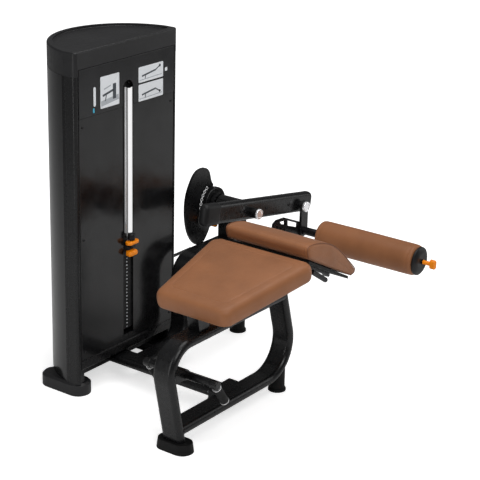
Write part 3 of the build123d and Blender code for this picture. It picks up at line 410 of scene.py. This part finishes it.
def chest_point(along, across, height):
    cos, sin = math.cos(chest_slope), math.sin(chest_slope)
    return at(CHEST_LOW_X + along * cos - height * sin, PAD_MID_Y + across,
              CHEST_LOW_Z + along * sin + height * cos)


def chest_wrinkle(p, inset, height):
    """Broad waves of the cover and short gathers beside the sewn groove."""
    if not (-12 < height < 3.4 and inset > 6):
        return 0.0
    waves = noise.noise(Vector((p.x * 0.012, p.y * 0.012, 3.7)))
    gathers = noise.noise(Vector((p.x * 0.055, p.y * 0.055, 9.1)))
    return (0.9 * waves * min(1.0, (inset - 6) / 20.0)
            + 0.45 * gathers * math.exp(-abs(inset - 56) / 18.0))


def build_chest_pad():
    outline = rounded_poly(
        [(0, -CHEST_LOW_HALF), (chest_length, -CHEST_HIGH_HALF),
         (chest_length, CHEST_HIGH_HALF), (0, CHEST_LOW_HALF)],
        CHEST_CORNER, arc_steps=12, side_step=8.0)
    center = Vector((chest_length * 0.53, 0.0))
    size = len(outline)
    verts = []
    for inset, height in CHEST_PROFILE:
        for x, y in outline:
            p = center + (Vector((x, y)) - center) * (1.0 - inset / CHEST_SHRINK)
            verts.append(chest_point(p.x, p.y, height + chest_wrinkle(p, inset, height)))
    faces = ring_faces(len(CHEST_PROFILE), size)
    top_ring, top = len(verts) - size, len(verts)
    verts.append(chest_point(center.x, center.y, 3.5))
    faces += [(top_ring + k, top_ring + (k + 1) % size, top) for k in range(size)]
    verts.append(chest_point(center.x, center.y, CHEST_BOTTOM))
    faces += [(top + 1, (k + 1) % size, k) for k in range(size)]
    chest = add_mesh("chest_cushion", verts, faces, "pad_brown")
    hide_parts("chest_pad", "chest_board")
    attach(chest, "frame")


build_chest_pad()

# ------------------------------------------------------------------ thigh pad
THIGH_HALF = 211.5      # half width along Y
THIGH_END_RADIUS = 17.0
THIGH_SEAM = 23.0       # end seam, distance from the end face
SPLINE_STEPS = 5
# (x, z) of the upholstered top, from the -X edge over the ridge to the low +X edge
THIGH_TOP = [
    (-105, 692), (-111.5, 714), (-111.5, 726), (-105, 734.5), (-90, 738.5), (-50, 735.5),
    (10, 722), (75, 694), (138, 650), (200, 594), (241, 556), (255, 542), (259.5, 531),
    (255, 519), (243, 514.5)]
THIGH_BASE = Vector((226, 512.5)), Vector((-98, 679))   # straight underside, +X end first
# distances of the cross-sections from an end face, up to the middle
THIGH_STATIONS = (0.0, 0.6, 2.0, 4.5, 8.0, 12.0, 17.0, 21.0, 23.0, 25.0, 29.0, 40.0, 60.0,
                  90.0, 130.0, 170.0, THIGH_HALF)
# (scale of the section, outward bulge) of the rings that close an end
THIGH_END_RINGS = ((0.82, 1.4), (0.5, 2.4), (0.2, 2.9))
WELT_INSET, WELT_FROM_END = 1.6, 6.0
WELT_RADIUS = 0.0019    # metres


def catmull(points, steps):
    """Catmull-Rom spline through 2D points."""
    curve = []
    padded = [points[0]] + points + [points[-1]]
    for i in range(1, len(padded) - 2):
        p0, p1, p2, p3 = (Vector(q) for q in padded[i - 1:i + 3])
        for k in range(steps):
            t = k / steps
            curve.append(0.5 * ((2 * p1) + (p2 - p0) * t
                                + (2 * p0 - 5 * p1 + 4 * p2 - p3) * t * t
                                + (3 * p1 - p0 - 3 * p2 + p3) * t ** 3))
    curve.append(Vector(points[-1]))
    return curve


def dip(offset, width):
    return math.exp(-(offset / width) ** 2)


def thigh_inset(distance):
    """How far a section draws in at this distance from the end face."""
    short = THIGH_END_RADIUS - min(distance, THIGH_END_RADIUS)
    rounding = THIGH_END_RADIUS - math.sqrt(max(0.0, THIGH_END_RADIUS ** 2 - short ** 2))
    return rounding + 1.5 * dip(distance - THIGH_SEAM, 1.7)


def add_welt(name, points):
    """Closed piping tube."""
    curve = bpy.data.curves.new(name, "CURVE")
    curve.dimensions = "3D"
    curve.bevel_depth = WELT_RADIUS
    curve.bevel_resolution = 3
    spline = curve.splines.new("POLY")
    spline.points.add(len(points) - 1)
    for spline_point, co in zip(spline.points, points):
        spline_point.co = (*co, 1)
    spline.use_cyclic_u = True
    curve.materials.append(MAT["pad_piping"])
    attach(link_object(name, curve), "frame")


def build_thigh_pad():
    top_line = catmull(THIGH_TOP, SPLINE_STEPS)
    loop = top_line + [THIGH_BASE[0].lerp(THIGH_BASE[1], k / 16) for k in range(17)]
    size, top_count = len(loop), len(top_line)
    normals = []
    for i in range(size):
        tangent = (loop[(i + 1) % size] - loop[i - 1]).normalized()
        normals.append(Vector((-tangent.y, tangent.x)))     # outward: the loop runs clockwise
    # samples of the top line where the lengthwise seams lie: ridge and low edge
    seams = (4 * SPLINE_STEPS - 1, top_count - 12)
    y_near, y_far = PAD_MID_Y - THIGH_HALF, PAD_MID_Y + THIGH_HALF
    sections = [(y_near + t, thigh_inset(t)) for t in THIGH_STATIONS]
    sections += [(y_far - t, thigh_inset(t)) for t in reversed(THIGH_STATIONS[:-1])]

    verts = []
    for y, inset in sections:
        for i, (p, normal) in enumerate(zip(loop, normals)):
            crown = groove = 0.0
            if 3 < i < top_count - 4:
                crown = 2.2 * (1 - ((y - PAD_MID_Y) / THIGH_HALF) ** 2)
                crown += 0.8 * noise.noise(Vector((p.x * 0.014, y * 0.014, p.y * 0.014)))
            if i < top_count:
                groove = sum(1.3 * dip(i - seam, 0.9) for seam in seams)
            q = p + normal * (crown - groove) - normal * inset
            verts.append(at(q.x, y, q.y))
    faces = ring_faces(len(sections), size)

    mid_x = sum(p.x for p in loop) / size
    mid_z = sum(p.y for p in loop) / size
    for base, y, side in ((0, y_near, -1), ((len(sections) - 1) * size, y_far, 1)):
        center = at(mid_x, y, mid_z)
        ring = list(range(base, base + size))
        for scale, bulge in THIGH_END_RINGS:
            inner = list(range(len(verts), len(verts) + size))
            for v in verts[base:base + size]:
                verts.append(Vector((center.x + (v.x - center.x) * scale,
                                     v.y + side * bulge / 1000.0,
                                     center.z + (v.z - center.z) * scale)))
            for i in range(size):
                i_next = (i + 1) % size
                faces.append((ring[i], ring[i_next], inner[i_next], inner[i]))
            ring = inner
        verts.append(at(mid_x, y + side * 3.0, mid_z))
        faces += [(ring[i], ring[(i + 1) % size], len(verts) - 1) for i in range(size)]
    thigh = add_mesh("thigh_cushion", verts, faces, "pad_brown")
    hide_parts("thigh_pad")
    attach(thigh, "frame")

    for label, y in (("near", y_near + WELT_FROM_END), ("far", y_far - WELT_FROM_END)):
        path = [p - normal * WELT_INSET for p, normal in zip(loop, normals)]
        add_welt("thigh_end_welt_" + label, [at(p.x, y, p.y) for p in path])


build_thigh_pad()

# ------------------------------------------------------------------ roller pad
ROLLER_X, ROLLER_Z = 741.0, 437.0
ROLLER_SEGMENTS = 96
ROLLER_SEAM = math.radians(262)     # lengthwise seam, almost straight down
# (y, radius) from the bore edge at -Y to the bore edge at +Y
ROLLER_PROFILE = [
    (-549.6, 29), (-549.8, 51), (-548.8, 59), (-546, 65), (-541, 69), (-534, 70.9),
    (-529, 71.2), (-526.5, 70.2), (-524, 71.3), (-510, 71.6), (-450, 71.9), (-370, 72.1),
    (-290, 72.2), (-210, 72.1), (-130, 71.9), (-70, 71.6), (-54, 71.3), (-51.5, 70.2),
    (-49, 71.2), (-44, 70.9), (-37, 69), (-32, 65), (-29.2, 59), (-28.2, 51), (-28.4, 29)]


def build_roller_pad():
    verts = []
    for y, radius in ROLLER_PROFILE:
        for k in range(ROLLER_SEGMENTS):
            angle = 2 * math.pi * k / ROLLER_SEGMENTS
            cos, sin = math.cos(angle), math.sin(angle)
            r = radius
            if radius > 60:
                r += 0.55 * noise.noise(Vector((cos * 1.6, sin * 1.6, y * 0.012)))
                r -= 1.5 * dip((angle - ROLLER_SEAM) * 69, 2.2)
            verts.append(at(ROLLER_X + r * cos, y, ROLLER_Z + r * sin))
    faces = ring_faces(len(ROLLER_PROFILE), ROLLER_SEGMENTS, closed=True)
    roller = add_mesh("roller_cushion", verts, faces, "pad_brown")
    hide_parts("roller_pad")
    attach(roller, "roller")


build_roller_pad()

# ------------------------------------------------------------------ placard pictures
# Outlines are given as x from the tower middle and z from PICTURE_Z.
PLACARD_Y = 287.65      # -Y face of the placard
PICTURE_Z = 1244.0
PICTURE_THICK = 0.35


def rect(x0, x1, z0, z1, radius=4.0):
    x0, x1, z0, z1 = TOWER_X + x0, TOWER_X + x1, PICTURE_Z + z0, PICTURE_Z + z1
    return rounded_poly([(x0, z0), (x1, z0), (x1, z1), (x0, z1)], radius,
                        arc_steps=4, side_step=400.0)


def bar(x0, z0, x1, z1, width):
    x0, x1, z0, z1 = TOWER_X + x0, TOWER_X + x1, PICTURE_Z + z0, PICTURE_Z + z1
    along = Vector((x1 - x0, z1 - z0)).normalized()
    side = Vector((-along.y, along.x)) * width / 2
    return [(x0 + side.x, z0 + side.y), (x0 - side.x, z0 - side.y),
            (x1 - side.x, z1 - side.y), (x1 + side.x, z1 + side.y)]


# name, outline, material, lift off the placard
PICTURES = [
    ("picture_left", rect(-172, -56, -8, 124), "picture_pale", 0.1),
    ("picture_left_ground", bar(-168, 12, -60, 24, 22), "picture_mid", 0.2),
    ("ink_column_bar", rect(-214, -200, 10, 90, 6), "picture_pale", 0.3),
    ("ink_column_low", rect(-218, -208, -16, 4, 4), "picture_blue", 0.3),
    ("picture_right", rect(66, 226, 54, 120), "picture_pale", 0.1),
    ("picture_right_low", rect(66, 226, -26, 46), "picture_pale", 0.1),
    ("picture_small", rect(238, 254, 74, 90), "picture_pale", 0.1),
    ("ink_left_bench", bar(-158, 44, -92, 58, 9), "picture_ink", 0.4),
    ("ink_left_tower", rect(-96, -76, 20, 84, 2), "picture_ink", 0.4),
    ("ink_left_arm", bar(-150, 70, -108, 80, 5), "picture_mid", 0.4),
    ("ink_left_leg", bar(-142, 20, -136, 44, 5), "picture_ink", 0.4),
]
# the two right-hand pictures: height of the drawing, and of its roll above that
for k, (z, roll) in enumerate(((84, 22), (4, -8))):
    roll_outline = circle(TOWER_X + 204, PICTURE_Z + z + roll, 6, 20)
    PICTURES += [
        (f"ink_right_ground_{k}", bar(72, z - 20, 220, z - 16, 3), "picture_mid", 0.3),
        (f"ink_right_bench_{k}", bar(88, z - 4, 176, z + 8, 7), "picture_ink", 0.4),
        (f"ink_right_leg_{k}", bar(108, z - 18, 112, z - 4, 4), "picture_ink", 0.4),
        (f"ink_right_arm_{k}", bar(176, z + 8, 204, z + roll, 5), "picture_ink", 0.4),
        (f"ink_right_roll_{k}", roll_outline, "picture_ink", 0.4),
    ]
for name, outline, material, lift in PICTURES:
    y_front = PLACARD_Y - lift
    picture = add_mesh(name, *plate(outline, y_front, y_front + PICTURE_THICK), material,
                       smooth=False)
    attach(picture, "frame")

# ------------------------------------------------------------------ rear stay
# stay behind the stack, seen through the slot beside the guide rod, drawn as a chrome rod; its
# brightness is a painted reflection and a painted highlight glow
STAY_X, STAY_Y = TOWER_X + 139.0, 398.0
STAY_SEGMENTS = 24
STAY_RINGS = ((596.0, 8.5), (600.0, 10.5), (1370.0, 10.5), (1374.0, 8.5))   # (z, radius)
verts = [at(x, y, z) for z, radius in STAY_RINGS
         for x, y in circle(STAY_X, STAY_Y, radius, STAY_SEGMENTS)]
faces = ring_faces(len(STAY_RINGS), STAY_SEGMENTS)
faces += [tuple(range(STAY_SEGMENTS - 1, -1, -1)),
          tuple(range(len(verts) - STAY_SEGMENTS, len(verts)))]
attach(add_mesh("rear_stay", verts, faces, "stay_bright"), "frame")

# ------------------------------------------------------------------ plate markers
# pale dots up the middle of the stack, one per weight plate
STACK_BOTTOM, PLATE_THICK, PLATE_PITCH, PLATE_COUNT = 215.0, 15.4, 15.8, 21
DOT_FRONT, DOT_BACK, DOT_RADIUS = 297.4, 297.95, 2.9
verts, faces = [], []
for i in range(PLATE_COUNT):
    z = STACK_BOTTOM + PLATE_THICK / 2 + PLATE_PITCH * i
    dot_verts, dot_faces = plate(circle(TOWER_X, z, DOT_RADIUS, 14), DOT_FRONT, DOT_BACK,
                                 start=len(verts))
    verts += dot_verts
    faces += dot_faces
markers = add_mesh("plate_markers", verts, faces, "picture_pale", smooth=False)
attach(markers, "frame")


# ------------------------------------------------------------------ lever sleeve
ARM_MID = 12        # middle line of the arm, measured square to it from the pivot


def arm_point(along):
    """(x, z) on the middle line of the lever arm."""
    cos, sin = math.cos(ARM_TILT), math.sin(ARM_TILT)
    return PIVOT_X + along * cos - ARM_MID * sin, PIVOT_Z + along * sin + ARM_MID * cos


sleeve_x, sleeve_z = arm_point(-292)
rounded_box("lever_sleeve", (sleeve_x, 122.0, sleeve_z), size=(116, 51, 99), bevel=21,
            material="sleeve_black", body="lever", tilt=ARM_TILT)

# ------------------------------------------------------------------ screws
PANEL_SCREW_Y, PANEL_SCREW_RADIUS = 289.8, 5.0
ARM_SCREW_Y, ARM_SCREW_RADIUS = 98.9, 7.0
# (radius, height) as shares of the screw radius, from the socket floor to the rim
SCREW_PROFILE = [(0.0, 0.30), (0.30, 0.30), (0.55, 0.62), (0.62, 0.62), (0.86, 0.42), (1.0, 0.0)]
SCREW_SINK = 0.6        # the rim goes this far into the surface


def cap_screw(name, x, z, y, radius, body):
    """Domed button screw with a socket, looking toward -Y."""
    stations = [(radius * r, y - radius * height) for r, height in SCREW_PROFILE]
    stations.append((radius, y + SCREW_SINK))
    count = 24
    verts = rings_along_y(x, z, stations, count)
    faces = ring_faces(len(stations), count)
    faces.append(tuple(range(len(verts) - count, len(verts))))
    attach(add_mesh(name, verts, faces, "plastic_black"), body)


panel_places = [(TOWER_X + dx, z) for dx in (-280, 280) for z in (200.0, 700.0, 1180.0)]
for i, (x, z) in enumerate(panel_places):
    cap_screw(f"panel_screw_{i}", x, z, PANEL_SCREW_Y, PANEL_SCREW_RADIUS, "frame")
for i, along in enumerate((-90, 110, 290)):
    cap_screw(f"arm_screw_{i}", *arm_point(along), ARM_SCREW_Y, ARM_SCREW_RADIUS, "lever")

# ------------------------------------------------------------------ cam hole rims
# machined rims of the start holes on the -Y face of the cam, bright from bare metal and from a glow
# that is a painted highlight; every other one is small
HOLE_CIRCLE, HOLE_COUNT = 101.0, 19
HOLE_START, HOLE_PITCH = 124.6, 5.6             # degrees
RIM_RADII = ((6.5, 8.0), (0.8, 1.8))            # (inner, outer), large and small
RIM_SEGMENTS = 18
verts, faces = [], []
for i in range(HOLE_COUNT):
    angle = math.radians(HOLE_START + HOLE_PITCH * i)
    inner, outer = RIM_RADII[i % 2]
    stations = ((outer, 315.75), (outer - 0.4, 315.55), (inner, 315.55), (inner, 315.9))
    faces += ring_faces(len(stations), RIM_SEGMENTS, start=len(verts), closed=True)
    verts += rings_along_y(PIVOT_X + HOLE_CIRCLE * math.cos(angle),
                           PIVOT_Z + HOLE_CIRCLE * math.sin(angle), stations, RIM_SEGMENTS)
attach(add_mesh("cam_hole_rims", verts, faces, "hole_rim"), "cam")

# ------------------------------------------------------------------ belt drop
# Ribbon from the top pulley to the top plate. Frame metres.
BELT_X, BELT_Y = -0.3103, 0.3335
BELT_BOTTOM, BELT_TOP = 0.6462, 1.3218
BELT_HALF_X, BELT_HALF_Y = 0.0014, 0.011
BELT_STEPS = 60
belt_length = BELT_TOP - BELT_BOTTOM
verts = [(BELT_X + side_x * BELT_HALF_X, BELT_Y + side_y * BELT_HALF_Y,
          BELT_BOTTOM + belt_length * i / BELT_STEPS)
         for i in range(BELT_STEPS + 1)
         for side_x, side_y in ((-1, -1), (1, -1), (1, 1), (-1, 1))]
faces = ring_faces(BELT_STEPS + 1, 4)
faces += [(3, 2, 1, 0), tuple(range(BELT_STEPS * 4, BELT_STEPS * 4 + 4))]
ribbon = add_mesh("belt_drop_ribbon", verts, faces, "belt_black", smooth=False)
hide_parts("belt_drop")
attach(ribbon, "frame")
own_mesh(ribbon)

# ------------------------------------------------------------------ seam trims
# fillers between the uprights and the rear shell
TRIM_OFFSET = 322.0 - 2.4
for k, side in enumerate((-1, 1)):
    rounded_box(f"seam_trim_{k}", (TOWER_X + side * TRIM_OFFSET, 351.5, 724.5),
                size=(4.0, 16.0, 1334.0), bevel=0.6,
                material="frame_black", body="frame")


# ------------------------------------------------------------------ stage
def floor_material(name):
    """Pale floor that glows for the camera only, more strongly away from the machine."""
    tree, shader = new_material(name)
    set_inputs(shader, {"Roughness": 0.9, "Specular IOR Level": 0.1,
                        "Emission Color": (1, 1, 1, 1)})
    light_path = tree.nodes.new("ShaderNodeLightPath")
    glow = tree.nodes.new("ShaderNodeMath")
    glow.operation = "MULTIPLY"
    geometry = tree.nodes.new("ShaderNodeNewGeometry")
    distance = tree.nodes.new("ShaderNodeVectorMath")
    distance.operation = "LENGTH"
    tree.links.new(geometry.outputs["Position"], distance.inputs[0])
    fade = tree.nodes.new("ShaderNodeMapRange")
    set_inputs(fade, {"From Min": 1.2, "From Max": 3.2, "To Min": 0.62, "To Max": 1.02})
    tree.links.new(distance.outputs["Value"], fade.inputs["Value"])
    tree.links.new(fade.outputs["Result"], glow.inputs[1])
    tree.links.new(light_path.outputs["Is Camera Ray"], glow.inputs[0])
    tree.links.new(glow.outputs[0], shader.inputs["Emission Strength"])
    cloud = noise_texture(tree, coords(tree), scale=3.0, detail=2.0)
    color = ramp(tree, cloud, [(0.3, grey(0.91)), (0.7, grey(0.94))])
    tree.links.new(color, shader.inputs["Base Color"])


def build_world():
    """White for the camera, a dim vertical gradient for light and reflections."""
    world = bpy.data.worlds.new("studio")
    bpy.context.scene.world = world
    world.use_nodes = True
    tree = world.node_tree
    background = tree.nodes["Background"]
    light_path = tree.nodes.new("ShaderNodeLightPath")
    mix = tree.nodes.new("ShaderNodeMix")
    mix.data_type = "RGBA"
    texture_coords = tree.nodes.new("ShaderNodeTexCoord")
    split = tree.nodes.new("ShaderNodeSeparateXYZ")
    tree.links.new(texture_coords.outputs["Generated"], split.inputs["Vector"])
    gradient = ramp(tree, split.outputs["Z"],
                    [(0.0, grey(0.16)), (0.35, grey(0.10)), (1.0, grey(0.34))])
    tree.links.new(light_path.outputs["Is Camera Ray"], mix.inputs["Factor"])
    tree.links.new(gradient, mix.inputs["A"])
    mix.inputs["B"].default_value = (1, 1, 1, 1)
    tree.links.new(mix.outputs["Result"], background.inputs["Color"])
    background.inputs["Strength"].default_value = 1.0


def area_light(name, place, target, width, height, power):
    light = bpy.data.lights.new(name, "AREA")
    light.shape = "RECTANGLE"
    light.size, light.size_y = width, height
    light.energy = power
    aim = (Vector(target) - Vector(place)).to_track_quat("-Z", "Y").to_matrix().to_4x4()
    obj = bpy.data.objects.new(name, light)
    obj.matrix_world = Matrix.Translation(place) @ aim
    bpy.context.scene.collection.objects.link(obj)


bpy.ops.mesh.primitive_plane_add(size=60, location=(0, 0, 0))
floor = bpy.context.object
floor.name = "floor"
floor_material("floor_pale")
floor.data.materials.append(MAT["floor_pale"])
build_world()

# name, place, target, width and height (metres), power (watts)
LIGHTS = [
    ("key", (-2.2, -3.2, 4.2), (0, 0, 0.6), 2.6, 2.6, 95),
    ("top", (0.4, -0.2, 4.2), (0, 0, 0.4), 3.0, 3.0, 70),
    ("fill", (3.6, -2.4, 2.0), (0, 0, 0.6), 2.0, 2.6, 24),
    ("strip_left", (-3.6, 0.6, 1.6), (-0.3, 0.3, 0.8), 0.7, 3.0, 26),
]
for row in LIGHTS:
    area_light(*row)

# camera place in metres, and its own axes in the frame
CAMERA_PLACE = (-5.0212, -3.7275, 2.904)
CAMERA_RIGHT = (0.5961424263781333, -0.8025601750291873, 0.022613556312801857)
CAMERA_UP = (0.263953980402485, 0.22250969083490207, 0.938518904292418)
CAMERA_BACK = (-0.7582496315209633, -0.5535219986068094, 0.34448641969843585)
camera_data = bpy.data.cameras.new("photo_camera")
camera_data.sensor_width = 36.0
camera_data.lens = 115.908
camera_data.clip_start, camera_data.clip_end = 0.1, 100.0
camera = bpy.data.objects.new("photo_camera", camera_data)
camera_axes = Matrix((CAMERA_RIGHT, CAMERA_UP, CAMERA_BACK)).transposed()
camera.matrix_world = Matrix.Translation(CAMERA_PLACE) @ camera_axes.to_4x4()
bpy.context.scene.collection.objects.link(camera)
bpy.context.scene.camera = camera
bpy.context.scene.view_settings.view_transform = "Standard"
